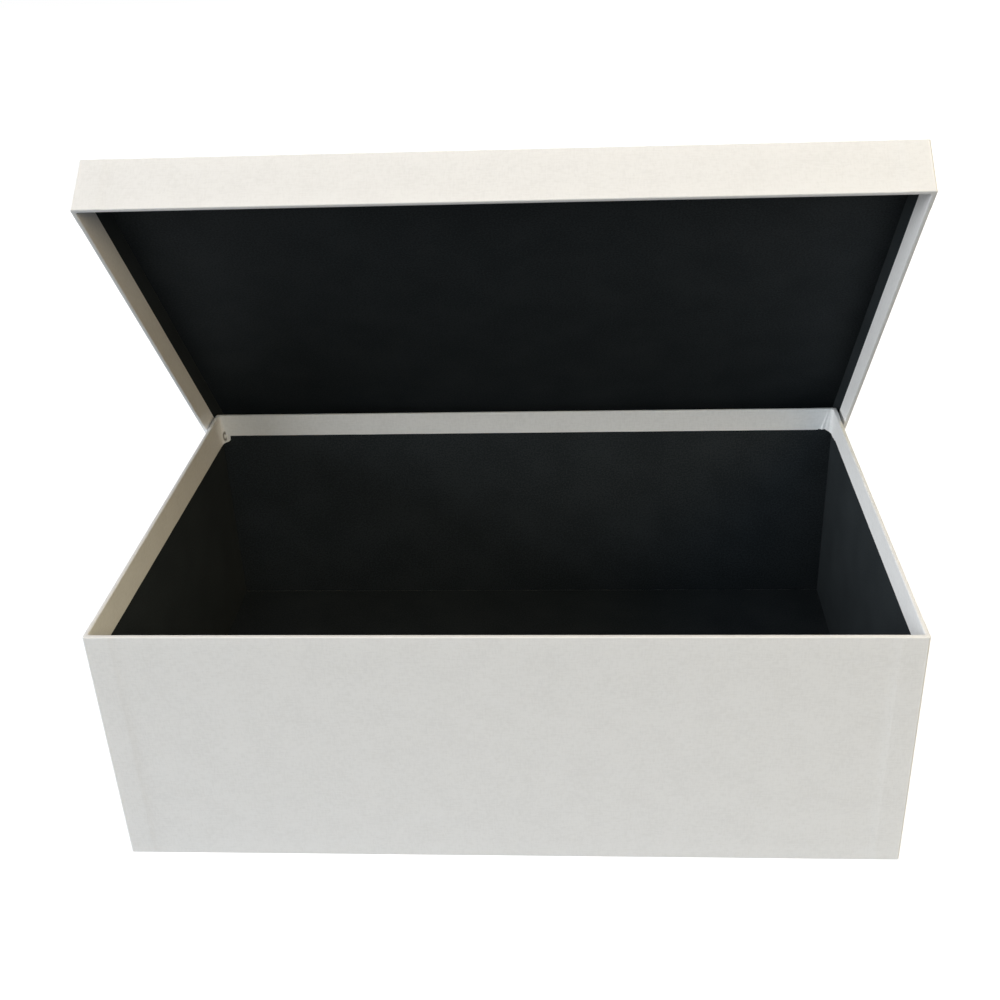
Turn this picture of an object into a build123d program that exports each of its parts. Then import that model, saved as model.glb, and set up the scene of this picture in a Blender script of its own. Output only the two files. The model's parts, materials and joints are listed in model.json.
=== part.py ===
from build123d import *
import os
from dataclasses import dataclass

# Rigid keepsake box with a lift-off lid, in millimetres.
# Both halves are trays of grey board: four walls glued round a flat board, the corners held by
# gummed tape, white paper wrapped round the outside and turned in over the rim, black paper inside.
# The origin is the centre of the underside, +Z is up and the front faces -Y.
# The lid is drawn where it lies when closed and is then tipped back over the rear wall.

# Outside of the base, and the rounding of both halves' upright corners over the paper
box_width = 350.0
box_depth = 225.0
box_height = 120.0
corner_round = 1.0

# Thickness of the sheet goods
board_thickness = 1.5
wrap_thickness = 0.15
lining_thickness = 0.15
tape_thickness = 0.15
sheet_thickness = 0.15

# Cuts and folds of the paper
tape_leg = 11.0
base_turn_in = 13.0
lid_turn_in = 12.5
turn_under = 16.0
underside_inset = 4.0

# Lid and its play on the base
lid_height = 26.4
side_play = 1.6
front_play = 1.9
rear_play = 0.7
seat_gap = 0.3

# Tipping of the lid about the lower edge of its rear skirt
lid_opening = 52.4
tilt_axis_gap = 0.4

# Worked out from the sizes above
skin_thickness = wrap_thickness + tape_thickness
wall_thickness = skin_thickness + board_thickness + lining_thickness + wrap_thickness
tape_round = corner_round - wrap_thickness
board_round = corner_round - skin_thickness
lid_width = box_width + 2 * (side_play + wall_thickness)
lid_depth = box_depth + front_play + rear_play + 2 * wall_thickness
lid_shift = (rear_play - front_play) / 2
lid_top = box_height + seat_gap + lining_thickness + board_thickness + wrap_thickness
tilt_axis_y = box_depth / 2 + tilt_axis_gap
tilt_axis_z = lid_top - lid_height


@dataclass
class Tray:
    """One half of the box. Its plane lies on the closed face and points to the open rim."""

    name: str
    plane: Plane
    width: float
    depth: float
    height: float
    turn_in: float
    sheet_below: float
    face: str
    sides: tuple

    @property
    def board_start(self):
        return self.sheet_below + wrap_thickness

    @property
    def board_end(self):
        return self.height - wrap_thickness

    @property
    def lining_start(self):
        return self.board_start + board_thickness

    @property
    def outline(self):
        """Width and depth over the boards."""
        return self.width - 2 * skin_thickness, self.depth - 2 * skin_thickness


def inset(outline, distance):
    """Make an outline smaller by a distance on every side."""
    return outline[0] - 2 * distance, outline[1] - 2 * distance


def strips(tray, outline, thickness):
    """Name, centre and size of four upright strips inside an outline: long ones, then short ones."""
    width, depth = outline
    mid_x = (width - thickness) / 2
    mid_y = (depth - thickness) / 2
    between = depth - 2 * thickness
    near, far, left, right = tray.sides
    return (
        (near, (0, -mid_y), (width, thickness)),
        (far, (0, mid_y), (width, thickness)),
        (left, (-mid_x, 0), (thickness, between)),
        (right, (mid_x, 0), (thickness, between)),
    )


def draw_tape(tray, x_side, y_side):
    """Draw one corner tape in the open sketch: an angle round the outside of two boards."""
    width, depth = inset(tray.outline, -tape_thickness)
    RectangleRounded(width, depth, tape_round)
    RectangleRounded(*tray.outline, board_round, mode=Mode.SUBTRACT)
    with Locations((x_side * (width - tape_leg) / 2, y_side * (depth - tape_leg) / 2)):
        Rectangle(tape_leg, tape_leg, mode=Mode.INTERSECT)


def outline_over_tapes(tray, cover):
    """Outline over boards, corner tapes and a cover of this thickness: it is proud at the tapes."""
    width, depth = inset(tray.outline, -(tape_thickness + cover))
    proud = tape_leg + 2 * cover
    with BuildSketch() as outline:
        RectangleRounded(width, depth, tape_round + cover)
        with GridLocations(0, depth - tape_thickness, 1, 2):
            Rectangle(width - 2 * proud, tape_thickness, mode=Mode.SUBTRACT)
        with GridLocations(width - tape_thickness, 0, 2, 1):
            Rectangle(tape_thickness, depth - 2 * proud, mode=Mode.SUBTRACT)
    return outline.sketch


def save(piece, node):
    """Name a finished piece and write it as one node."""
    piece.part.label = node
    export_step(piece.part, f"parts/{node}.step")


# Places of the two trays
closed_lid = Plane(origin=(0, lid_shift, lid_top), x_dir=(1, 0, 0), z_dir=(0, 0, -1))
tilt_axis = Pos(0, tilt_axis_y, tilt_axis_z)
tipped_lid = Plane(tilt_axis * Rot(X=-lid_opening) * tilt_axis.inverse() * closed_lid.location)

base = Tray(
    name="base",
    plane=Plane.XY,
    width=box_width,
    depth=box_depth,
    height=box_height,
    turn_in=base_turn_in,
    sheet_below=sheet_thickness,
    face="bottom",
    sides=("front", "rear", "left", "right"),
)
lid = Tray(
    name="lid",
    plane=tipped_lid,
    width=lid_width,
    depth=lid_depth,
    height=lid_height,
    turn_in=lid_turn_in,
    sheet_below=0.0,
    face="top",
    sides=("rear", "front", "left", "right"),
)

os.makedirs("parts", exist_ok=True)

for tray in (base, lid):
    inner_outline = inset(tray.outline, board_thickness)
    lined_outline = inset(inner_outline, lining_thickness)
    open_outline = inset(lined_outline, wrap_thickness)
    lining_end = tray.lining_start + lining_thickness
    inside_of_paper = outline_over_tapes(tray, 0.0)
    outside_of_paper = outline_over_tapes(tray, wrap_thickness)

    # Grey boards: one flat, four walls round it
    with BuildPart() as face_board:
        with BuildSketch(tray.plane.offset(tray.board_start)):
            Rectangle(*inner_outline)
        extrude(amount=board_thickness)
    save(face_board, f"{tray.name}_{tray.face}_board")

    for side, centre, size in strips(tray, tray.outline, board_thickness):
        with BuildPart() as wall_board:
            with BuildSketch(tray.plane.offset(tray.board_start)):
                RectangleRounded(*tray.outline, board_round)
                with Locations(centre):
                    Rectangle(*size, mode=Mode.INTERSECT)
            extrude(amount=tray.board_end - tray.board_start)
        save(wall_board, f"{tray.name}_{side}_board")

    # Gummed tape folded round each corner
    for y_side, y_name in ((-1, tray.sides[0]), (1, tray.sides[1])):
        for x_side, x_name in ((-1, tray.sides[2]), (1, tray.sides[3])):
            with BuildPart() as corner_tape:
                with BuildSketch(tray.plane.offset(tray.board_start)):
                    draw_tape(tray, x_side, y_side)
                extrude(amount=tray.board_end - tray.board_start)
            save(corner_tape, f"{tray.name}_{y_name}_{x_name}_tape")

    # Black paper on the flat and on each wall
    with BuildPart() as face_lining:
        with BuildSketch(tray.plane.offset(tray.lining_start)):
            Rectangle(*inner_outline)
        extrude(amount=lining_thickness)
    save(face_lining, f"{tray.name}_{tray.face}_lining")

    for side, centre, size in strips(tray, inner_outline, lining_thickness):
        with BuildPart() as wall_lining:
            with BuildSketch(tray.plane.offset(lining_end)):
                with Locations(centre):
                    Rectangle(*size)
            extrude(amount=tray.board_end - lining_end)
        save(wall_lining, f"{tray.name}_{side}_lining")

    # White paper: outside of the walls, closed face, rim and the turn-in behind the rim
    with BuildPart() as wrap:
        with BuildSketch(tray.plane.offset(tray.sheet_below)):
            add(outside_of_paper)
            add(inside_of_paper, mode=Mode.SUBTRACT)
        extrude(amount=tray.height - tray.sheet_below)
        with BuildSketch(tray.plane.offset(tray.sheet_below)):
            add(outside_of_paper)
            if tray.sheet_below > 0:
                Rectangle(tray.width - 2 * turn_under, tray.depth - 2 * turn_under, mode=Mode.SUBTRACT)
        extrude(amount=wrap_thickness)
        with BuildSketch(tray.plane.offset(tray.board_end)):
            add(outside_of_paper)
            Rectangle(*open_outline, mode=Mode.SUBTRACT)
        extrude(amount=wrap_thickness)
        with BuildSketch(tray.plane.offset(tray.height - tray.turn_in)):
            Rectangle(*lined_outline)
            Rectangle(*open_outline, mode=Mode.SUBTRACT)
        extrude(amount=tray.turn_in)
    save(wrap, f"{tray.name}_wrap")

# Sheet pasted under the base over the turned-under paper
with BuildPart() as underside_sheet:
    with BuildSketch(base.plane):
        Rectangle(box_width - 2 * underside_inset, box_depth - 2 * underside_inset)
    extrude(amount=sheet_thickness)
save(underside_sheet, "base_underside_sheet")
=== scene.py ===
import json
from dataclasses import dataclass
from math import cos, exp, hypot, pi, radians, sin

import bpy
from mathutils import Matrix, Vector


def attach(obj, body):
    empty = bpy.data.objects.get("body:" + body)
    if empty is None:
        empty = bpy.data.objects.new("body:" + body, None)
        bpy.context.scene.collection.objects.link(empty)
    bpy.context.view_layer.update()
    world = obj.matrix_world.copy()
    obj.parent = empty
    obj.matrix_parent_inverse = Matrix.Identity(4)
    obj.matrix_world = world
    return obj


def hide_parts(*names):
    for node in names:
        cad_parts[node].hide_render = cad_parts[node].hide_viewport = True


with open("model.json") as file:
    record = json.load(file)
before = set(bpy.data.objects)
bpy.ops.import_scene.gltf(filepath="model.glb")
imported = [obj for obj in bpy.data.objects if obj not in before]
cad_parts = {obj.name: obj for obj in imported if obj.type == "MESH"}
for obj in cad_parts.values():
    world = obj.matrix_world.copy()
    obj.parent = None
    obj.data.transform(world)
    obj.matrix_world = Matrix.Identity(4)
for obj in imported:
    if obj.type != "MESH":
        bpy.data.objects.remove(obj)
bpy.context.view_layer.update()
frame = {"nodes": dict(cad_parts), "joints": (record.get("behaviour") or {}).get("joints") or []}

# Keepsake box: grey board trays covered with white paper and lined with black paper.
# Each half is drawn in its own axes: x to the right, z from the closed face to the open rim.
# Lengths are in metres; mm turns a size in millimetres into metres.
mm = 0.001

# How the covering paper is folded. The strip of the turn-in just above its cut edge isn't stuck tight.
BASE_TURN_IN = 13.0 * mm
LID_TURN_IN = 12.5 * mm
TURN_UNDER = 16.0 * mm
CORNER_ROUND = 1.0 * mm
EDGE_ROUND = 0.45 * mm
RIM_INNER_ROUND = 0.35 * mm
INNER_CORNER_ROUND = 1.2 * mm
SMALLEST_ROUND = 0.3 * mm
TAPE_RAMP = 0.9 * mm
LOOSE_STRIP = 8 * mm

# Small faults of paper pasted by hand. WAVES says how far apart such faults lie, and SHOWN_ON_RIM is
# the share of a fault that still shows in the middle of the rim.
PAPER_UNEVENNESS = 0.05 * mm
UNEVEN_WAVES = 55 * mm
CUT_RAGGEDNESS = 0.18 * mm
RAGGED_WAVES = 2.2 * mm
CUT_LIFT = 0.1 * mm
LIFT_WAVES = 14 * mm
LAP_GROOVE = 0.05 * mm
# Widths of the lighter band on folds and upright corners: partly real rub, partly a painted highlight
RUB_AND_HIGHLIGHT_WIDTH = 1.2 * mm
CORNER_RUB_AND_HIGHLIGHT_WIDTH = 1.0 * mm
SHOWN_ON_RIM = 0.3
LINING_LIFT = 0.3 * mm
LINING_LIFT_WAVES = 45 * mm
LINING_RAGGED_WAVES = 3 * mm
LINING_BORDER = 15 * mm
UNDERSIDE_SEED = 60.0

# Pleats that fan out from the inner corners of the turn-in. The crest's place is a share of a pleat.
FOLD_COUNT = 1.0
FOLD_RISE = 1.0 * mm
FOLD_BRIDGE = 0.3 * mm
FOLD_SPREAD_AT_RIM = 1.6 * mm
FOLD_SPREAD_AT_CUT = 2.9 * mm
FOLD_CREST = 0.55
FOLD_WANDER = 0.25 * mm
WANDER_WAVES = 3 * mm

# Flaps of the turn-in that are cut out of true: how much deeper they reach than the others, and how far
# from the end of their side. The base's left flap goes round on to the rear wall as a small tab.
LEFT_FLAP_AT_REAR = 4.4 * mm
LEFT_FLAP_LOSS = 2.8 * mm
REAR_TAB = 3.0 * mm
REAR_TAB_WIDTH = 1.1 * mm
REAR_FLAP = -0.5 * mm
REAR_FLAP_START = -0.9 * mm
REAR_FLAP_START_WIDTH = 4.0 * mm
RIGHT_FLAP_TIP = 1.5 * mm
RIGHT_FLAP_TIP_WIDTH = 4 * mm
RIGHT_FLAP_END = 0.8 * mm
RIGHT_FLAP_END_WIDTH = 9 * mm
LID_LEFT_FLAP = 0.8 * mm

# Tear in the base's turn-in, on the rear wall by the left corner, its slit painted dark as shadow. The
# slit's width is a share of the tear's half size.
TEAR_FROM_CORNER = 1.4 * mm
TEAR_BELOW_RIM = 10.3 * mm
TEAR_HALF_WIDTH = 1.4 * mm
TEAR_HALF_HEIGHT = 1.4 * mm
TEAR_SLIT = 0.80
TEAR_LIFT = 0.15 * mm

# How finely the papers are divided: round the outline, then along the section
CORNER_STEPS = 16
LAP_STEPS = (0.42 * mm, 0.5 * mm, 0.58 * mm)
FOLD_CELL = 0.2 * mm
FOLD_CELLS = range(4, 31)
BEFORE_RAMP = (7.0 * mm, 8.3 * mm)
RAMP_CELL = 0.25 * mm
RAMP_CELLS = 4
PAST_RAMP = (12.5 * mm, 16.0 * mm)
WALL_CELL = 8.0 * mm
FOLD_STEPS = 4
TOP_INSETS = (75 * mm, 30 * mm, 14 * mm, 6 * mm, 2.5 * mm, 1.2 * mm)
BOTTOM_INSETS = (12 * mm, 8 * mm, 4.5 * mm, 2.5 * mm, 1.2 * mm)
HEIGHT_CELL = 9 * mm
BESIDE_FOLD = 0.6 * mm
BELOW_RIM = 0.4 * mm
TURN_IN_CELL = 1.0 * mm
ABOVE_CUT = 0.8 * mm
CUT_CELL = 0.3 * mm
CUT_BEVEL = 0.05 * mm
PASTED_STEPS = (0.5 * mm, 3 * mm, 5 * mm)
LINING_CELL = 4.0 * mm
SAME_PLACE = 0.002 * mm
SHARP_ANGLE = radians(40)

# Colours: the darker and the lighter tone of a finish, and what marks it
WHITE_TONES = ((0.825, 0.825, 0.820), (0.882, 0.883, 0.879))
# Lighter white of folds and corners: partly burnished paper, partly a painted highlight
RUBBED_AND_HIGHLIT_WHITE = (0.93, 0.93, 0.92)
# Raw cut edge of the paper, also a painted highlight on the strip just above it
RAW_CUT_AND_HIGHLIGHT = (0.93, 0.92, 0.91)
TORN_SHADOW = (0.10, 0.08, 0.06)
BLACK_TONES = ((0.0165, 0.0200, 0.0222), (0.0285, 0.0335, 0.0365))
DUST = (0.06, 0.06, 0.06)
BOARD_TONES = ((0.36, 0.34, 0.30), (0.47, 0.45, 0.41))
DARK_FIBRE = (0.16, 0.15, 0.14)
TAPE_TONES = ((0.47, 0.33, 0.19), (0.60, 0.45, 0.28))
FLOOR_NEAR_BOX = (0.45, 0.48, 0.54)
FLOOR_FAR_OFF = (0.10, 0.10, 0.10)
FLOOR_SHADOW = (0.45, 0.45, 0.45, 1.0)
WHITE = (1.0, 1.0, 1.0, 1.0)

# Distances from the box's middle over which the floor gets darker to light and whiter to the camera,
# and the strength of its glow at both ends of the second
FLOOR_DARKENS = (0.40, 0.85)
FLOOR_WHITENS = (0.3, 1.3)
FLOOR_GLOW = (0.84, 1.0)

# Place of the camera and what it sees, in a picture 1000 pixels wide
CAMERA_PLACE = Vector((38.69, -548.26, 418.34)) * mm
CAMERA_HEADING = -4.108
CAMERA_PITCH_DOWN = 28.670
CAMERA_ROLL = -2.3513
PICTURE_SIZE = 1000
FOCAL_PIXELS = 1283.6
PICTURE_CENTRE = (510.25, 510.54)

# Lamps: name, place, width of the square, watts and colour. They point at the middle of the box.
LAMPS = (
    ("window on the left", (-4.4, -1.4, 1.3), 2.0, 200.0, (0.95, 0.98, 1.0)),
    ("sky in front", (0.4, -4.0, 2.6), 2.0, 38.0, (0.66, 0.82, 0.95)),
    ("ceiling", (0.0, -0.1, 1.9), 1.4, 8.5, (1.0, 0.92, 0.97)),
    ("warm room on the right", (1.5, -1.2, 1.2), 1.2, 16.0, (1.0, 0.78, 0.46)),
    ("warm wall on the right", (1.4, 0.0, 1.4), 1.2, 7.0, (1.0, 0.94, 0.60)),
    ("wall behind", (0.3, 1.8, 1.1), 1.4, 16.0, (1.0, 0.97, 0.92)),
)
LIT_PLACE = Vector((0, 0, 0.1))
ROOM_LIGHT = 0.06


def turn_about(point, axis, angle):
    """Rotation about an axis through a point."""
    return Matrix.Translation(point) @ Matrix.Rotation(angle, 4, axis) @ Matrix.Translation(-point)


def box_of(node, place):
    """Lowest and highest corner of a construction node after it is placed."""
    corners = [place @ vertex.co for vertex in frame["nodes"][node].data.vertices]
    return Vector(map(min, zip(*corners))), Vector(map(max, zip(*corners)))


# Where the lid lies when it is closed, from the joint that tips it
tilt = frame["joints"][0]
closing = turn_about(Vector(tilt["pos_m"]), Vector(tilt["axis"]), radians(tilt["range_deg"][0]))
opening = closing.inverted()
upright = Matrix.Identity(4)


@dataclass
class Tray:
    """One half of the box: its size, its papers, and where its own axes stand in the closed box.

    slack_corner is the round of the turn-in at its cut edge, where the paper spans the corner loosely.
    gathers says for each corner, from the near left one on and counter-clockwise, how strongly the
    turn-in is gathered on the side that ends there and on the side that starts there. torn is 1 where
    the turn-in has the tear, whose slit is painted dark as shadow. sides names the near, far, left and
    right wall. The lid's own axes are turned over, so its near wall is the rear one. flat_faces is where
    its flat lining faces when closed.
    """

    name: str
    width: float
    depth: float
    height: float
    cover_start: float
    turn_in: float
    slack_corner: float
    gathers: tuple
    tear_and_shadow: float
    wall_lining_lift: float
    paper_seed: float
    lining_seed: float
    in_closed_box: Matrix
    to_rest: Matrix
    flat: str
    flat_faces: tuple
    sides: tuple

    @property
    def place(self):
        """From the tray's own axes to the box as it stands open."""
        return self.to_rest @ self.in_closed_box

    @property
    def half(self):
        return self.width / 2, self.depth / 2


base_low, base_high = box_of("base_wrap", upright)
lid_low, lid_high = box_of("lid_wrap", closing)
lid_middle = (lid_low + lid_high) / 2

base = Tray(
    name="base",
    width=base_high.x - base_low.x,
    depth=base_high.y - base_low.y,
    height=base_high.z,
    cover_start=base_low.z,
    turn_in=BASE_TURN_IN,
    slack_corner=3.6 * mm,
    gathers=((0.3, 0.2), (0.2, 0.3), (0.3, 1.0), (0.5, 0.4)),
    tear_and_shadow=1.0,
    wall_lining_lift=LINING_LIFT,
    paper_seed=3.0,
    lining_seed=20.0,
    in_closed_box=upright,
    to_rest=upright,
    flat="bottom",
    flat_faces=(0, 0, 1),
    sides=("front", "rear", "left", "right"),
)
lid = Tray(
    name="lid",
    width=lid_high.x - lid_low.x,
    depth=lid_high.y - lid_low.y,
    height=lid_high.z - lid_low.z,
    cover_start=0.0,
    turn_in=LID_TURN_IN,
    slack_corner=2.2 * mm,
    gathers=((0.5, 0.4), (0.4, 0.5), (0.3, 0.2), (0.2, 0.3)),
    tear_and_shadow=0.0,
    wall_lining_lift=0.0,
    paper_seed=8.0,
    lining_seed=40.0,
    in_closed_box=Matrix.Translation((0, lid_middle.y, lid_high.z)) @ Matrix.Rotation(pi, 4, "X"),
    to_rest=opening,
    flat="top",
    flat_faces=(0, 0, -1),
    sides=("rear", "front", "left", "right"),
)

# Thicknesses and the corner tapes, as built
bottom_board = box_of("base_bottom_board", upright)
front_lining = box_of("base_front_lining", upright)
corner_tape = box_of("base_front_left_tape", upright)
front_board = box_of("base_front_board", upright)
paper = bottom_board[0].z - base_low.z
tape_leg = corner_tape[1].x - corner_tape[0].x
tape_step = front_board[0].y - corner_tape[0].y
wall = front_lining[1].y + paper - base_low.y


# Node trees: geometry and materials are both written with this

class Tree:
    """A node tree. Each call adds one node, fills its inputs in order and hands back an output.

    Inputs and outputs are counted among those that the node has in use.
    """

    def __init__(self, tree):
        self.tree = tree

    def fill(self, socket, value):
        if isinstance(value, bpy.types.NodeSocket):
            self.tree.links.new(value, socket)
        elif value is not None:
            socket.default_value = value

    def add(self, kind, *inputs, output=0, named=(), **settings):
        node = self.tree.nodes.new(kind)
        for setting, value in settings.items():
            setattr(node, setting, value)
        shown = [socket for socket in node.inputs if socket.enabled]
        for socket, value in zip(shown, inputs):
            self.fill(socket, value)
        for name, value in dict(named).items():
            self.fill(node.inputs[name], value)
        results = [socket for socket in node.outputs if socket.enabled]
        return results[output] if results else node

    def math(self, operation, *values):
        return self.add("ShaderNodeMath", *values, operation=operation)

    def vector(self, operation, *values):
        return self.add("ShaderNodeVectorMath", *values, operation=operation)

    def scaled(self, vector, factor):
        return self.add("ShaderNodeVectorMath", vector, factor, operation="SCALE")

    def smooth_step(self, value, low, high, start=0.0, end=1.0):
        return self.add("ShaderNodeMapRange", value, low, high, start, end, interpolation_type="SMOOTHSTEP")

    def mixed(self, factor, first, second):
        return self.add("ShaderNodeMix", factor, first, second, data_type="FLOAT")


def new_geometry_tree(name, inputs):
    """Geometry tree with named inputs, and its group input node."""
    tree = bpy.data.node_groups.new(name, "GeometryNodeTree")
    for label, kind in inputs.items():
        tree.interface.new_socket(label, in_out="INPUT", socket_type=kind)
    tree.interface.new_socket("Geometry", in_out="OUTPUT", socket_type="NodeSocketGeometry")
    return tree, tree.nodes.new("NodeGroupInput")


def made_mesh(name, tree, values):
    """Run a geometry tree with these inputs and keep its result as a plain mesh."""
    empty = bpy.data.meshes.new("empty")
    carrier = bpy.data.objects.new("carrier", empty)
    bpy.context.scene.collection.objects.link(carrier)
    modifier = carrier.modifiers.new("making", "NODES")
    modifier.node_group = tree
    for item in tree.interface.items_tree:
        if item.in_out == "INPUT":
            modifier[item.identifier] = values[item.name]
    evaluated = carrier.evaluated_get(bpy.context.evaluated_depsgraph_get())
    mesh = bpy.data.meshes.new_from_object(evaluated)
    bpy.data.objects.remove(carrier)
    bpy.data.meshes.remove(empty)
    mesh.name = name
    return mesh


def points_with(name, places, facts):
    """Object with loose points that carry facts, which a geometry tree reads."""
    mesh = bpy.data.meshes.new(name)
    mesh.from_pydata(places, [], [])
    for fact, values in facts.items():
        if isinstance(values[0], float):
            mesh.attributes.new(fact, "FLOAT", "POINT").data.foreach_set("value", values)
        else:
            flat = [number for value in values for number in value]
            mesh.attributes.new(fact, "FLOAT_VECTOR", "POINT").data.foreach_set("vector", flat)
    points = bpy.data.objects.new(name, mesh)
    bpy.context.scene.collection.objects.link(points)
    return points


# Covering paper: a section of the paper carried round the outline of the tray

def steps_from_corner(length):
    """Distances of the points on one side from the end of the corner's arc, up to the side's middle.

    They lie close together at the lap, at the folds and on the ramp beside the corner tape.
    """
    folds = [step * FOLD_CELL for step in FOLD_CELLS]
    ramp_end = tape_leg + 2 * paper - CORNER_ROUND
    ramp = [ramp_end - step * RAMP_CELL for step in range(RAMP_CELLS, -1, -1)]
    near = [0.0, *LAP_STEPS, *folds, *BEFORE_RAMP, *ramp, *PAST_RAMP]
    pieces = round((length / 2 - near[-1]) / WALL_CELL)
    step = (length / 2 - near[-1]) / pieces
    return near + [near[-1] + step * (count + 1) for count in range(pieces)]


def is_lap(distance):
    """1 where the edge of the overlapping flap runs beside the corner, otherwise 0."""
    return float(abs(distance - LAP_STEPS[1]) < 0.01 * mm)


def paper_outline(tray, sag):
    """Points once round the tray, each with the facts the covering tree needs.

    sag(side, distance) is how much deeper the turn-in is at a distance from the corner where that side
    starts. On a corner's arc the distance counts back below zero, so that the folds of the side that
    starts there run on into the arc.
    """
    half_x = tray.width / 2 - CORNER_ROUND
    half_y = tray.depth / 2 - CORNER_ROUND
    corners = ((-1, -1), (1, -1), (1, 1), (-1, 1))
    near, far, left, right = tray.sides
    sides = (near, right, far, left)
    places = []
    facts = {name: [] for name in ("outward", "bare", "from_corner", "gather", "deeper", "lap")}

    def keep(place, direction, distance, strength, depth, long_side):
        past_tape = (max(distance, 0.0) + CORNER_ROUND - tape_leg - paper) / TAPE_RAMP
        ramp = min(max(past_tape, 0.0), 1.0)
        places.append((*place, 0.0))
        facts["outward"].append((*direction, 0.0))
        facts["bare"].append(ramp * ramp * (3 - 2 * ramp))
        facts["from_corner"].append(float(distance))
        facts["gather"].append(float(strength))
        facts["deeper"].append(float(depth))
        facts["lap"].append(is_lap(distance) * long_side)

    for number, (corner, side) in enumerate(zip(corners, sides)):
        next_corner = corners[(number + 1) % 4]
        start = Vector((corner[0] * half_x, corner[1] * half_y))
        end = Vector((next_corner[0] * half_x, next_corner[1] * half_y))
        length = (end - start).length
        along = (end - start) / length
        long_side = 1.0 - number % 2
        gather_before, gather_after = tray.gathers[number]
        gather_at_end = tray.gathers[(number + 1) % 4][0]
        length_before = 2 * (half_x if number % 2 else half_y)
        sag_before = sag(sides[number - 1], length_before)
        sag_after = sag(side, 0.0)
        arc_start = pi + number * pi / 2
        arc_length = tray.slack_corner * pi / 2

        for step in range(CORNER_STEPS):
            done = step / CORNER_STEPS
            angle = arc_start + done * pi / 2
            strength = gather_before + (gather_after - gather_before) * done
            depth = sag_before + (sag_after - sag_before) * done
            keep(start, (cos(angle), sin(angle)), (done - 1) * arc_length, strength, depth, 0.0)
        out = (cos(arc_start + pi / 2), sin(arc_start + pi / 2))
        first_half = steps_from_corner(length)
        for distance in first_half:
            keep(start + along * distance, out, distance, gather_after, sag(side, distance), long_side)
        for distance in reversed(first_half[:-1]):
            depth = sag(side, length - distance)
            keep(end - along * distance, out, distance, gather_at_end, depth, long_side)

    # The first point comes once more at the end, which closes the ring
    for values in (places, *facts.values()):
        values.append(values[0])
    return points_with(f"{tray.name}_outline", places, facts)


def spaced(start, end, step):
    """Evenly spaced values between two ends, both left out."""
    count = max(int(round(abs(end - start) / step)), 1)
    return [start + (end - start) * number / count for number in range(1, count)]


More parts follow.
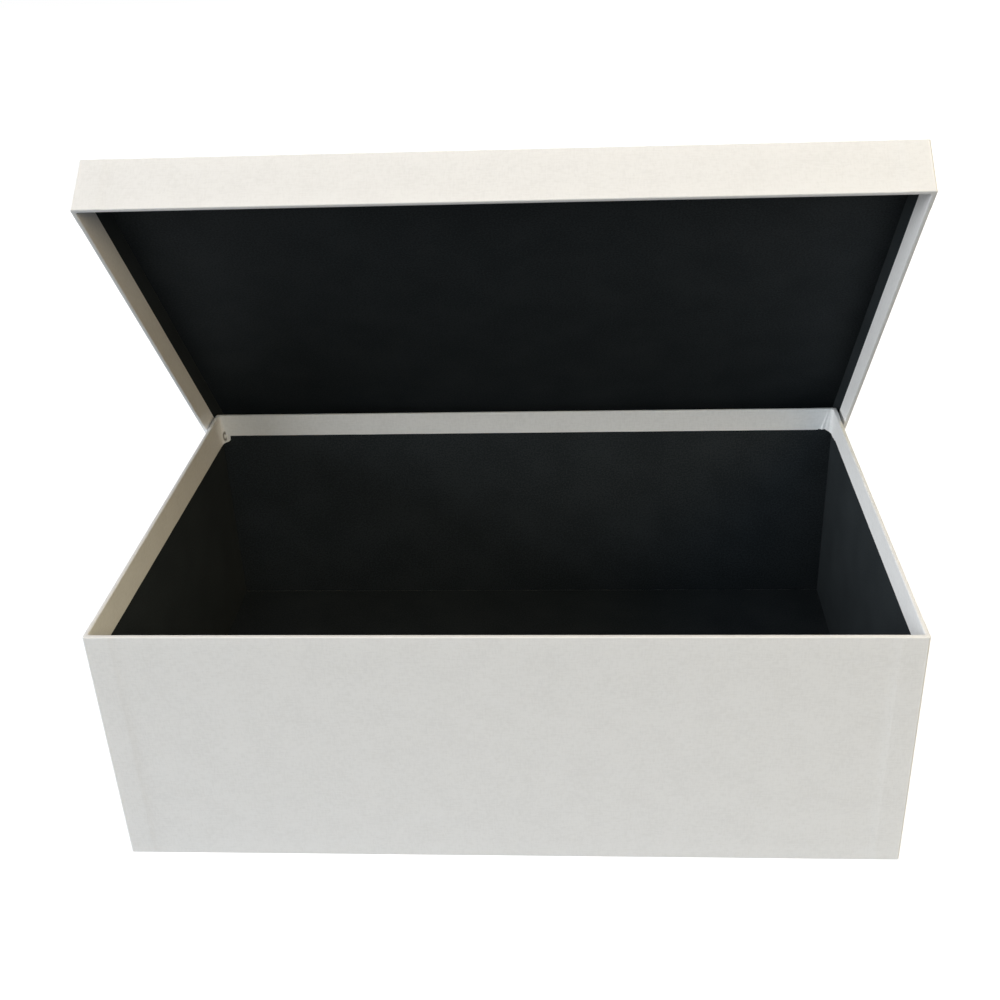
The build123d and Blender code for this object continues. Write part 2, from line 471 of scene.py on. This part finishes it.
def paper_section(tray):
    """Section of the covering paper from the closed face, over the rim and back on the pasted side.

    A point is (inset from the outside, height, round of its corner), with its weights: follow for the
    step over the tapes, panel for the hollow of the closed face, tuck and edge for the way to the cut
    edge from the rim and from the crease, cut for the raw edge and a painted highlight just above it,
    and worn for the rub on a fold, partly real and partly a painted highlight.
    """
    rim = tray.height
    start = tray.cover_start
    edge = rim - tray.turn_in
    crease = edge + LOOSE_STRIP
    middle = tray.depth / 2
    pasted = wall - paper
    quarter_turn = [step / FOLD_STEPS * pi / 2 for step in range(FOLD_STEPS + 1)]
    places = []
    facts = {name: [] for name in ("follow", "edge", "tuck", "panel", "cut", "worn")}

    def keep(inset, height, corner=None, **weights):
        if corner is None:
            corner = max(CORNER_ROUND - inset, SMALLEST_ROUND)
        places.append((inset, height, corner))
        # Lighter near the folds: partly rubbed paper, partly a painted highlight on the rounded edges
        to_fold = min(hypot(inset, height - start), hypot(inset, rim - height))
        weights.setdefault("worn", exp(-to_fold / RUB_AND_HIGHLIGHT_WIDTH))
        for name, values in facts.items():
            values.append(float(weights.get(name, 0.0)))

    def turned_in(inset, height, **weights):
        """Point of the turn-in: its corner gets rounder towards the cut edge."""
        tuck = (rim - height) / tray.turn_in
        pull = min(max((crease - height) / (crease - edge), 0), 1)
        slack = (tray.slack_corner - INNER_CORNER_ROUND) * min(tuck, 1)
        corner = INNER_CORNER_ROUND + slack + wall - inset
        keep(inset, height, corner, tuck=tuck, edge=pull, worn=0, **weights)

    # Closed face: the lid's from its middle, the base's from the edge of the turned-under flap
    if tray.flat == "top":
        keep(middle, start, 0.0, panel=1)
        insets = TOP_INSETS
    else:
        keep(TURN_UNDER, start)
        insets = BOTTOM_INSETS
    for inset in insets:
        keep(inset, start, panel=1)
    for angle in quarter_turn:
        keep(EDGE_ROUND * (1 - sin(angle)), start + EDGE_ROUND * (1 - cos(angle)), follow=1)

    # Outside of the wall, then over the rim
    low = start + EDGE_ROUND + BESIDE_FOLD
    high = rim - EDGE_ROUND - BESIDE_FOLD
    for height in (low, *spaced(low, high, HEIGHT_CELL), high):
        keep(0, height, follow=1)
    for angle in quarter_turn:
        keep(EDGE_ROUND * (1 - cos(angle)), rim - EDGE_ROUND + EDGE_ROUND * sin(angle), follow=1)
    keep(wall / 2, rim, follow=SHOWN_ON_RIM)
    for angle in quarter_turn:
        inset = wall - RIM_INNER_ROUND + RIM_INNER_ROUND * sin(angle)
        keep(inset, rim - RIM_INNER_ROUND * (1 - cos(angle)), INNER_CORNER_ROUND)

    # Turn-in behind the rim and its cut edge
    top = rim - RIM_INNER_ROUND - BELOW_RIM
    low = edge + ABOVE_CUT
    for height in (top, *spaced(top, crease, TURN_IN_CELL), crease, *spaced(crease, low, CUT_CELL), low):
        turned_in(wall, height)
    # The cut weight lightens the raw edge and, as a painted highlight, the strip just above it
    turned_in(wall, edge + CUT_CELL, cut=0.6)
    turned_in(wall, edge + CUT_BEVEL, cut=1)
    turned_in(wall - CUT_BEVEL, edge, cut=1)
    turned_in(pasted + CUT_BEVEL, edge, cut=1)
    turned_in(pasted, edge + CUT_BEVEL, cut=1)

    # Pasted side, back to where it began
    for height in (*(edge + step for step in PASTED_STEPS), crease, rim - TURN_IN_CELL):
        turned_in(pasted, height)
    keep(pasted, rim - paper, INNER_CORNER_ROUND + paper, worn=0)
    keep(wall / 2, rim - paper, CORNER_ROUND, follow=SHOWN_ON_RIM, worn=0)
    keep(paper + CUT_BEVEL, rim - paper, follow=1, worn=0)
    keep(paper, rim - paper - CUT_BEVEL, follow=1, worn=0)
    keep(paper, start + paper + CUT_BEVEL, follow=1, worn=0)
    keep(paper + CUT_BEVEL, start + paper, worn=0)
    if tray.flat == "top":
        keep(TOP_INSETS[1], start + paper, worn=0)
        keep(middle, start + paper, 0.0, worn=0)
    else:
        keep(TURN_UNDER, start + paper, worn=0)
        keep(TURN_UNDER, start)
    return points_with(f"{tray.name}_section", places, facts)


def covering_tree():
    """Tree that carries a section of paper round an outline, with folds, laps and ragged edges.

    The tear is a crescent in the turn-in, its slit painted dark as shadow. Its place and half size are
    given along the paper, as x + y, which grows from the left wall round the corner to the rear wall, and
    in height. The third number of its half size is the width of the slit, as a share of the half size.
    """
    tree, given = new_geometry_tree(
        "Covering paper",
        {
            "Outline": "NodeSocketObject",
            "Section": "NodeSocketObject",
            "Half width": "NodeSocketFloat",
            "Half depth": "NodeSocketFloat",
            "Corner round": "NodeSocketFloat",
            "Tape step": "NodeSocketFloat",
            "Lap groove": "NodeSocketFloat",
            "Fold count": "NodeSocketFloat",
            "Fold rise": "NodeSocketFloat",
            "Fold bridge": "NodeSocketFloat",
            "Spread at rim": "NodeSocketFloat",
            "Spread at edge": "NodeSocketFloat",
            "Tear place": "NodeSocketVector",
            "Tear half size": "NodeSocketVector",
            "Tear lift": "NodeSocketFloat",
            "Tear darkness": "NodeSocketFloat",
            "Raggedness": "NodeSocketFloat",
            "Edge lift": "NodeSocketFloat",
            "Unevenness": "NodeSocketFloat",
            "Seed": "NodeSocketFloat",
            "Paper": "NodeSocketMaterial",
        },
    )
    t = Tree(tree)
    value = given.outputs
    outline = t.add("GeometryNodeObjectInfo", value["Outline"], output=4)
    section = t.add("GeometryNodeObjectInfo", value["Section"], output=4)
    around = t.add("GeometryNodeAttributeDomainSize", outline)
    across = t.add("GeometryNodeAttributeDomainSize", section)
    grid = t.add("GeometryNodeMeshGrid", 1.0, 1.0, around, across)
    index = t.add("GeometryNodeInputIndex")
    place_around = t.math("FLOOR", t.math("DIVIDE", t.math("ADD", index, 0.5), across))
    place_across = t.math("SUBTRACT", index, t.math("MULTIPLY", place_around, across))

    def read(geometry, fact, at, kind="FLOAT"):
        """Value of a fact on the outline or on the section, at the point with that number."""
        if fact == "position":
            named = t.add("GeometryNodeInputPosition")
        else:
            named = t.add("GeometryNodeInputNamedAttribute", fact, data_type=kind)
        return t.add("GeometryNodeSampleIndex", geometry, named, at, data_type=kind, domain="POINT")

    corner = read(outline, "position", place_around, "FLOAT_VECTOR")
    outward = read(outline, "outward", place_around, "FLOAT_VECTOR")
    bare, from_corner, gather, deeper, lap = (
        read(outline, fact, place_around) for fact in ("bare", "from_corner", "gather", "deeper", "lap")
    )
    point = read(section, "position", place_across, "FLOAT_VECTOR")
    follow, edge, tuck, panel, cut, worn = (
        read(section, fact, place_across) for fact in ("follow", "edge", "tuck", "panel", "cut", "worn")
    )
    parts = t.add("ShaderNodeSeparateXYZ", point).node.outputs
    inset, height, rounding = parts[0], parts[1], parts[2]

    # The corner's centre moves in with the section, so that the paper stays parallel to the board
    taken = t.math("ADD", inset, rounding)

    def pulled_in(half):
        """Share of the way out to the corner's centre that is left on this axis."""
        return t.math(
            "DIVIDE", t.math("SUBTRACT", half, taken), t.math("SUBTRACT", half, value["Corner round"])
        )

    stretch = t.add(
        "ShaderNodeCombineXYZ", pulled_in(value["Half width"]), pulled_in(value["Half depth"]), 0.0
    )
    centre = t.vector("MULTIPLY", corner, stretch)
    smooth_place = t.vector(
        "ADD",
        t.vector("ADD", centre, t.scaled(outward, rounding)),
        t.add("ShaderNodeCombineXYZ", 0.0, 0.0, height),
    )

    def noise(cell, shift):
        """Noise between -1 and 1 with cells of this size."""
        seed = t.math("ADD", value["Seed"], shift)
        named = {"Vector": smooth_place, "W": seed, "Scale": 1 / cell, "Detail": 2.0}
        raw = t.add("ShaderNodeTexNoise", named=named, noise_dimensions="4D")
        return t.math("MULTIPLY", t.math("SUBTRACT", raw, 0.5), 2.0)

    def positive_noise(cell, shift):
        return t.math("MULTIPLY_ADD", noise(cell, shift), 0.5, 0.5)

    # Folds fan out from each inner corner of the turn-in
    spread = t.mixed(tuck, value["Spread at rim"], value["Spread at edge"])
    wandering = t.math("MULTIPLY", noise(WANDER_WAVES, 7.0), FOLD_WANDER)
    fan = t.math("DIVIDE", t.math("ADD", from_corner, wandering), spread)
    in_fold = t.math("FRACT", t.math("MULTIPLY", fan, value["Fold count"]))
    beside = t.math("MAXIMUM", fan, 0.0)
    crest = t.math("MULTIPLY", in_fold, t.smooth_step(in_fold, FOLD_CREST, 1.0, 1.0, 0.0))
    crest = t.math("MULTIPLY", crest, t.math("LESS_THAN", fan, 1.0))
    pleated = t.math("MAXIMUM", t.math("MULTIPLY_ADD", gather, 2.0, -1.0), 0.0)
    ridge = t.math("MULTIPLY", t.math("MULTIPLY", crest, value["Fold rise"]), pleated)
    slack = t.math("MAXIMUM", t.math("SUBTRACT", 1.0, beside), 0.0)
    bridge = t.math("MULTIPLY", t.math("POWER", slack, 2.0), value["Fold bridge"])
    folded = t.math("MULTIPLY", t.math("ADD", ridge, t.math("MULTIPLY", bridge, gather)), tuck)

    # Crescent tear: a slit painted dark as shadow round a scale of paper that stands off a little
    at = t.add("ShaderNodeSeparateXYZ", smooth_place).node.outputs
    along = t.add("ShaderNodeCombineXYZ", t.math("ADD", at[0], at[1]), at[2], 0.0)
    from_tear = t.vector("SUBTRACT", along, value["Tear place"])
    half_size = t.add("ShaderNodeSeparateXYZ", value["Tear half size"]).node.outputs
    in_tear = t.vector("DIVIDE", from_tear, value["Tear half size"])
    shape = t.add("ShaderNodeSeparateXYZ", in_tear).node.outputs
    radius = t.math("SQRT", t.math("ADD", t.math("POWER", shape[0], 2.0), t.math("POWER", shape[1], 2.0)))
    off_slit = t.math("ABSOLUTE", t.math("SUBTRACT", radius, 1.0))
    closed_side = t.smooth_step(shape[0], 0.45, 0.8, 1.0, 0.0)
    behind_rim = t.math("GREATER_THAN", tuck, 0.05)
    slit = t.math("MULTIPLY", t.smooth_step(off_slit, 0.0, half_size[2], 1.0, 0.0), closed_side)
    # Painted shadow in the slit, only behind the rim
    tear_and_shadow = t.math("MULTIPLY", slit, t.math("MULTIPLY", value["Tear darkness"], behind_rim))
    scale = t.math("MULTIPLY", t.smooth_step(radius, 0.6, 0.9, 1.0, 0.0), behind_rim)
    stand_off = t.math("MULTIPLY", scale, value["Tear lift"])

    # Distance by which the paper lies further in than the plain section
    over_board = t.math("MULTIPLY", bare, value["Tape step"])
    groove = t.math("MULTIPLY", lap, value["Lap groove"])
    hollow = t.math("MULTIPLY", positive_noise(UNEVEN_WAVES, 0.0), value["Unevenness"])
    sunk = t.math("MULTIPLY", t.math("ADD", t.math("ADD", over_board, groove), hollow), follow)
    lifted = t.math("MULTIPLY", positive_noise(LIFT_WAVES, 3.0), value["Edge lift"])
    lifted = t.math("MULTIPLY", lifted, t.math("POWER", edge, 3.0))
    inward = t.math("ADD", t.math("ADD", sunk, folded), t.math("ADD", lifted, stand_off))

    # Distance by which it lies lower, at the cut edge, or higher, in the middle of the closed face
    ragged = t.math("MULTIPLY", noise(RAGGED_WAVES, 11.0), value["Raggedness"])
    uneven_cut = t.math("MULTIPLY", t.math("ADD", ragged, deeper), edge)
    dished = t.math("MULTIPLY", hollow, panel)
    shift = t.vector(
        "ADD",
        t.scaled(outward, t.math("MULTIPLY", inward, -1.0)),
        t.add("ShaderNodeCombineXYZ", 0.0, 0.0, t.math("SUBTRACT", dished, uneven_cut)),
    )
    made = t.add("GeometryNodeSetPosition", grid, True, t.vector("ADD", smooth_place, shift))

    # Marks for the finish: the raw cut with a painted highlight just above it, the tear's slit painted as
    # shadow, and the rub along folds and upright corners, partly real and partly a painted highlight
    off_corner = t.math("DIVIDE", t.math("MAXIMUM", from_corner, 0.0), CORNER_RUB_AND_HIGHLIGHT_WIDTH)
    near_corner = t.math("POWER", 0.5, off_corner)
    rub_and_highlight_here = t.math("MAXIMUM", worn, t.math("MULTIPLY", near_corner, follow))
    for mark, amount in (("cut", cut), ("tear_and_shadow", tear_and_shadow), ("worn", rub_and_highlight_here)):
        made = t.add("GeometryNodeStoreNamedAttribute", made, True, mark, amount, data_type="FLOAT")
    closed = t.add("GeometryNodeMergeByDistance", made, True, SAME_PLACE)
    smooth = t.add("GeometryNodeSetShadeSmooth", closed, True, True)
    real = t.add("GeometryNodeRealizeInstances", smooth)
    covered = t.add("GeometryNodeSetMaterial", real, True, value["Paper"])
    t.add("NodeGroupOutput", covered)
    return tree


def lining_tree():
    """Tree that makes one pasted sheet, lying in its own xy plane and lifting a little along z."""
    tree, given = new_geometry_tree(
        "Pasted sheet",
        {
            "Width": "NodeSocketFloat",
            "Length": "NodeSocketFloat",
            "Thickness": "NodeSocketFloat",
            "Points across": "NodeSocketInt",
            "Points along": "NodeSocketInt",
            "Lift": "NodeSocketFloat",
            "Flat border": "NodeSocketFloat",
            "Raggedness": "NodeSocketFloat",
            "Seed": "NodeSocketFloat",
            "Paper": "NodeSocketMaterial",
        },
    )
    t = Tree(tree)
    value = given.outputs
    size = t.add("ShaderNodeCombineXYZ", value["Width"], value["Length"], value["Thickness"])
    sheet = t.add("GeometryNodeMeshCube", size, value["Points across"], value["Points along"], 2)
    place = t.add("GeometryNodeInputPosition")
    parts = t.add("ShaderNodeSeparateXYZ", place).node.outputs

    def noise(cell, shift):
        seed = t.math("ADD", value["Seed"], shift)
        named = {"Vector": place, "W": seed, "Scale": 1 / cell, "Detail": 2.0}
        return t.add("ShaderNodeTexNoise", named=named, noise_dimensions="4D")

    def to_border(part, size):
        return t.math("SUBTRACT", t.math("DIVIDE", size, 2.0), t.math("ABSOLUTE", part))

    border_x = to_border(parts[0], value["Width"])
    border_y = to_border(parts[1], value["Length"])
    inside = t.smooth_step(t.math("MINIMUM", border_x, border_y), 0.0, value["Flat border"])
    lift = t.math("MULTIPLY", t.math("MULTIPLY", noise(LINING_LIFT_WAVES, 0.0), inside), value["Lift"])

    def trimmed(part, border, shift):
        """How far the cut edge lies in from the straight one."""
        at_edge = t.math("LESS_THAN", border, 0.01 * mm)
        ragged = t.math("MULTIPLY", noise(LINING_RAGGED_WAVES, shift), value["Raggedness"])
        depth = t.math("MULTIPLY", ragged, at_edge)
        return t.math("MULTIPLY", t.math("SIGN", part), t.math("MULTIPLY", depth, -1.0))

    offset = t.add(
        "ShaderNodeCombineXYZ", trimmed(parts[0], border_x, 5.0), trimmed(parts[1], border_y, 9.0), lift
    )
    shaped = t.add("GeometryNodeSetPosition", sheet, True, None, offset)
    real = t.add("GeometryNodeRealizeInstances", shaped)
    covered = t.add("GeometryNodeSetMaterial", real, True, value["Paper"])
    t.add("NodeGroupOutput", covered)
    return tree


def lay_grain(mesh):
    """UV map in metres along the paper, so that the grain runs straight on every face.

    It is laid while the mesh still stands square to its axes.
    """
    grain = mesh.uv_layers.new(name="grain").data
    for face in mesh.polygons:
        facing = [abs(part) for part in face.normal]
        thin = facing.index(max(facing))
        across, along = [part for part in range(3) if part != thin]
        for loop in face.loop_indices:
            place = mesh.vertices[mesh.loops[loop].vertex_index].co
            grain[loop].uv = (place[across], place[along])


def add_piece(mesh, tray, node):
    """Finished piece in the scene: it rides on its tray, and the construction node in its place is hidden.
    """
    piece = bpy.data.objects.new(mesh.name, mesh)
    bpy.context.scene.collection.objects.link(piece)
    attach(piece, tray.name)
    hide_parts(node)


# Finishes

def new_finish(name):
    """New material without nodes, and its tree to be filled."""
    finish = bpy.data.materials.new(name)
    finish.use_nodes = True
    finish.node_tree.nodes.clear()
    return finish, Tree(finish.node_tree)


def finish_with(t, colour, roughness, relief, gloss=0.5):
    """Shader and output of a finish. gloss is the strength of its mirror-like reflection."""
    inputs = {"Base Color": colour, "Roughness": roughness, "Normal": relief, "Specular IOR Level": gloss}
    t.add("ShaderNodeOutputMaterial", t.add("ShaderNodeBsdfPrincipled", named=inputs))


def cloud(t, where, cell, detail=3.0, squeeze=None):
    """Noise with cells of this size in metres, drawn out along an axis where squeeze is under 1."""
    if squeeze:
        where = t.add("ShaderNodeMapping", where, (0, 0, 0), (0, 0, 0), squeeze)
    named = {"Vector": where, "Scale": 1 / cell, "Detail": detail}
    return t.add("ShaderNodeTexNoise", named=named)


def toned(t, amount, tones):
    """Mix of a finish's darker and lighter tone."""
    darker, lighter = tones
    return t.add("ShaderNodeMix", amount, (*darker, 1.0), (*lighter, 1.0), data_type="RGBA")


def marked(t, colour, mark, strength, tint):
    """Colour that turns towards a tint where a mark is 1, at this strength."""
    amount = t.math("MULTIPLY", mark, strength)
    return t.add("ShaderNodeMix", amount, colour, (*tint, 1.0), data_type="RGBA")


def raised(t, height, strength, depth):
    """Fine relief of a surface."""
    return t.add("ShaderNodeBump", named={"Strength": strength, "Distance": depth, "Height": height})


def white_paper():
    """Matt white covering paper with a fine laid grain, its folds lighter, partly burnished, partly a
    painted highlight.
    """
    finish, t = new_finish("white covering paper")
    where = t.add("ShaderNodeUVMap", uv_map="grain")
    worn, cut, tear_and_shadow = (
        t.add("ShaderNodeAttribute", attribute_name=mark, output=2) for mark in ("worn", "cut", "tear_and_shadow")
    )
    mottle = cloud(t, where, 14 * mm)
    flock = cloud(t, where, 1.8 * mm)
    threads_across = cloud(t, where, 0.7 * mm, 2.0, (0.18, 1.0, 1.0))
    threads_along = cloud(t, where, 0.7 * mm, 2.0, (1.0, 0.18, 1.0))
    felt = t.math("ADD", threads_across, threads_along)

    shade = t.math("ADD", t.math("MULTIPLY", mottle, 0.20), t.math("MULTIPLY", flock, 0.24))
    shade = t.math("ADD", shade, t.math("MULTIPLY", felt, 0.30))
    colour = toned(t, t.smooth_step(shade, 0.40, 0.60), WHITE_TONES)
    patchy = t.smooth_step(cloud(t, where, 5 * mm), 0.2, 0.6, 0.5, 1.0)
    # Folds and corners turn lighter: partly burnish, partly a painted highlight
    colour = marked(t, colour, t.math("MULTIPLY", worn, patchy), 0.75, RUBBED_AND_HIGHLIT_WHITE)
    # Raw cut edge lighter, with a painted highlight on the strip just above it
    colour = marked(t, colour, cut, 0.7, RAW_CUT_AND_HIGHLIGHT)
    # Slit of the tear painted dark as shadow
    colour = marked(t, colour, tear_and_shadow, 0.9, TORN_SHADOW)
    dullness = t.add("ShaderNodeMapRange", flock, 0.3, 0.7, 0.58, 0.72)
    relief = t.math("ADD", t.math("MULTIPLY", felt, 0.6), t.math("MULTIPLY", flock, 0.5))
    finish_with(t, colour, dullness, raised(t, relief, 0.5, 0.03 * mm), 0.4)
    return finish


def black_paper():
    """Matt black lining paper with a fine tooth and a little dust."""
    finish, t = new_finish("black lining paper")
    where = t.add("ShaderNodeUVMap", uv_map="grain")
    mottle = cloud(t, where, 30 * mm)
    tooth = cloud(t, where, 0.9 * mm, 2.0)
    shade = t.math("ADD", t.math("MULTIPLY", mottle, 0.3), t.math("MULTIPLY", tooth, 0.7))
    colour = toned(t, t.smooth_step(shade, 0.38, 0.62), BLACK_TONES)
    specks = t.add("ShaderNodeTexVoronoi", where, 1 / (14 * mm))
    colour = marked(t, colour, t.smooth_step(specks, 0.006, 0.014, 1.0, 0.0), 0.35, DUST)
    dullness = t.add("ShaderNodeMapRange", tooth, 0.3, 0.7, 0.66, 0.74)
    finish_with(t, colour, dullness, raised(t, tooth, 0.4, 0.03 * mm), 0.08)
    return finish


def grey_board():
    """Raw grey board made of waste paper: clouded, with dark fibres."""
    finish, t = new_finish("grey board")
    where = t.add("ShaderNodeTexCoord", output=3)
    cloudy = cloud(t, where, 9 * mm)
    fibres = cloud(t, where, 0.7 * mm, 3.0, (0.3, 1.0, 1.0))
    colour = toned(t, t.smooth_step(cloudy, 0.3, 0.7), BOARD_TONES)
    colour = marked(t, colour, t.smooth_step(fibres, 0.60, 0.68), 0.5, DARK_FIBRE)
    finish_with(t, colour, 0.9, raised(t, fibres, 0.5, 0.05 * mm))
    return finish


def kraft_tape():
    """Brown gummed tape with long fibres."""
    finish, t = new_finish("gummed kraft tape")
    where = t.add("ShaderNodeTexCoord", output=3)
    fibres = cloud(t, where, 0.8 * mm, 3.0, (1.0, 1.0, 0.2))
    colour = toned(t, t.smooth_step(fibres, 0.35, 0.65), TAPE_TONES)
    finish_with(t, colour, 0.7, raised(t, fibres, 0.4, 0.03 * mm))
    return finish


white = white_paper()
black = black_paper()
board = grey_board()
tape = kraft_tape()

for name, node in frame["nodes"].items():
    if name.endswith("_board"):
        node.material_slots[0].material = board
    elif name.endswith("_tape"):
        node.material_slots[0].material = tape


# Covering papers

def base_sag(side, distance):
    """How much deeper the base's turn-in reaches, at a distance from the corner where the side starts."""
    to_side_end = (base.depth if side in ("left", "right") else base.width) - 2 * CORNER_ROUND - distance
    if side == "left":
        return LEFT_FLAP_AT_REAR - LEFT_FLAP_LOSS * distance / base.depth
    if side == "rear" and to_side_end < REAR_TAB_WIDTH:
        return REAR_TAB - to_side_end
    if side == "rear":
        return REAR_FLAP_START if distance < REAR_FLAP_START_WIDTH else REAR_FLAP
    if side == "right" and to_side_end < RIGHT_FLAP_END_WIDTH:
        return RIGHT_FLAP_TIP if to_side_end < RIGHT_FLAP_TIP_WIDTH else RIGHT_FLAP_END
    return 0.0


def lid_sag(side, distance):
    return LID_LEFT_FLAP if side == "left" else 0.0


cover = covering_tree()
along_at_rear_left = -base.half[0] + base.half[1]
for tray, sag in ((base, base_sag), (lid, lid_sag)):
    outline = paper_outline(tray, sag)
    section = paper_section(tray)
    mesh = made_mesh(
        f"{tray.name}_covering_paper",
        cover,
        {
            "Outline": outline,
            "Section": section,
            "Half width": tray.half[0],
            "Half depth": tray.half[1],
            "Corner round": CORNER_ROUND,
            "Tape step": tape_step,
            "Lap groove": LAP_GROOVE,
            "Fold count": FOLD_COUNT,
            "Fold rise": FOLD_RISE,
            "Fold bridge": FOLD_BRIDGE,
            "Spread at rim": FOLD_SPREAD_AT_RIM,
            "Spread at edge": FOLD_SPREAD_AT_CUT,
            "Tear place": (along_at_rear_left + TEAR_FROM_CORNER, base.height - TEAR_BELOW_RIM, 0.0),
            "Tear half size": (TEAR_HALF_WIDTH, TEAR_HALF_HEIGHT, TEAR_SLIT),
            "Tear lift": TEAR_LIFT * tray.tear_and_shadow,
            "Tear darkness": tray.tear_and_shadow,
            "Raggedness": CUT_RAGGEDNESS,
            "Edge lift": CUT_LIFT,
            "Unevenness": PAPER_UNEVENNESS,
            "Seed": tray.paper_seed,
            "Paper": white,
        },
    )
    for helper in (outline, section):
        bpy.data.objects.remove(helper)
    lay_grain(mesh)
    mesh.transform(tray.place)
    add_piece(mesh, tray, f"{tray.name}_wrap")


# Sheets pasted flat: the linings and the sheet under the base

sheet = lining_tree()


def paste_sheet(tray, node, facing, finish, lift, seed):
    """Sheet that fills the place of a construction node and faces along one of the closed box's axes."""
    low, high = box_of(node, tray.to_rest.inverted())
    size = high - low
    thin = [abs(part) for part in facing].index(1)
    across, along = (thin + 1) % 3, (thin + 2) % 3
    up = Vector(facing)
    right = Vector([float(part == across) for part in range(3)])
    turn = Matrix((right, up.cross(right), up)).transposed().to_4x4()
    mesh = made_mesh(
        f"{node}_paper",
        sheet,
        {
            "Width": size[across],
            "Length": size[along],
            "Thickness": size[thin],
            "Points across": max(int(size[across] / LINING_CELL), 4),
            "Points along": max(int(size[along] / LINING_CELL), 4),
            "Lift": lift,
            "Flat border": LINING_BORDER,
            "Raggedness": CUT_RAGGEDNESS,
            "Seed": seed,
            "Paper": finish,
        },
    )
    mesh.set_sharp_from_angle(angle=SHARP_ANGLE)
    mesh.transform(Matrix.Translation((low + high) / 2) @ turn)
    lay_grain(mesh)
    mesh.transform(tray.to_rest)
    add_piece(mesh, tray, node)


wall_faces = {"front": (0, 1, 0), "rear": (0, -1, 0), "left": (1, 0, 0), "right": (-1, 0, 0)}
for tray in (base, lid):
    flat = f"{tray.name}_{tray.flat}_lining"
    paste_sheet(tray, flat, tray.flat_faces, black, LINING_LIFT, tray.lining_seed)
    for number, side in enumerate(tray.sides):
        strip = f"{tray.name}_{side}_lining"
        seed = tray.lining_seed + number + 1
        paste_sheet(tray, strip, wall_faces[side], black, tray.wall_lining_lift, seed)
paste_sheet(base, "base_underside_sheet", (0, 0, -1), white, 0.0, UNDERSIDE_SEED)


# Floor, light and camera

def seen_directly(t):
    """1 for what the camera sees, also in a reflection or through glass, otherwise 0."""
    ray = t.add("ShaderNodeLightPath").node.outputs
    direct = t.math("MAXIMUM", ray["Is Camera Ray"], ray["Is Glossy Ray"])
    return t.math("MAXIMUM", direct, ray["Is Transmission Ray"])


def floor_finish():
    """Floor: pale and bluish to light, darker far off; white to the camera, with a soft shadow."""
    finish, t = new_finish("pale floor")
    from_box = t.add("ShaderNodeVectorMath", t.add("ShaderNodeTexCoord", output=3), operation="LENGTH")
    bounce = toned(t, t.smooth_step(from_box, *FLOOR_DARKENS), (FLOOR_NEAR_BOX, FLOOR_FAR_OFF))
    plain = t.add("ShaderNodeBsdfDiffuse", bounce)
    shadow = t.add("ShaderNodeBsdfDiffuse", FLOOR_SHADOW)
    glow = t.add("ShaderNodeEmission", WHITE, t.smooth_step(from_box, *FLOOR_WHITENS, *FLOOR_GLOW))
    seen = t.add("ShaderNodeAddShader", shadow, glow)
    t.add("ShaderNodeOutputMaterial", t.add("ShaderNodeMixShader", seen_directly(t), plain, seen))
    return finish


def lay_floor():
    """Square of floor just under the box."""
    reach = 3.0
    below = -0.1 * mm
    mesh = bpy.data.meshes.new("floor")
    corners = ((-reach, -reach), (reach, -reach), (reach, reach), (-reach, reach))
    mesh.from_pydata([(*corner, below) for corner in corners], [], [(0, 1, 2, 3)])
    mesh.materials.append(floor_finish())
    floor = bpy.data.objects.new("floor", mesh)
    bpy.context.scene.collection.objects.link(floor)


def light_room():
    """White to the camera and a plain grey level of light from all round."""
    world = bpy.data.worlds.new("room")
    bpy.context.scene.world = world
    world.use_nodes = True
    world.node_tree.nodes.clear()
    t = Tree(world.node_tree)
    dim = t.add("ShaderNodeBackground", WHITE, ROOM_LIGHT)
    bright = t.add("ShaderNodeBackground", WHITE, 1.0)
    t.add("ShaderNodeOutputWorld", t.add("ShaderNodeMixShader", seen_directly(t), dim, bright))


def hang_lamp(name, place, size, watts, colour):
    """Soft square lamp that points at the box."""
    lamp = bpy.data.lights.new(name, "AREA")
    lamp.size = size
    lamp.energy = watts
    lamp.color = colour
    hung = bpy.data.objects.new(name, lamp)
    hung.location = place
    hung.rotation_euler = (LIT_PLACE - Vector(place)).to_track_quat("-Z", "Y").to_euler()
    bpy.context.scene.collection.objects.link(hung)


def set_camera():
    """Camera where the photograph was taken, with the picture's centre shifted as it was cropped."""
    camera = bpy.data.cameras.new("camera")
    camera.sensor_width = 36.0
    camera.lens = FOCAL_PIXELS / PICTURE_SIZE * camera.sensor_width
    camera.shift_x = 0.5 - PICTURE_CENTRE[0] / PICTURE_SIZE
    camera.shift_y = PICTURE_CENTRE[1] / PICTURE_SIZE - 0.5
    camera.clip_start = 0.01
    camera.clip_end = 20.0
    stand = bpy.data.objects.new("camera", camera)
    turn = (
        Matrix.Rotation(radians(-CAMERA_HEADING), 4, "Z")
        @ Matrix.Rotation(radians(90 - CAMERA_PITCH_DOWN), 4, "X")
        @ Matrix.Rotation(radians(CAMERA_ROLL), 4, "Z")
    )
    stand.matrix_world = Matrix.Translation(CAMERA_PLACE) @ turn
    bpy.context.scene.collection.objects.link(stand)
    bpy.context.scene.camera = stand


lay_floor()
light_room()
for lamp in LAMPS:
    hang_lamp(*lamp)
set_camera()
bpy.context.scene.view_settings.view_transform = "Standard"
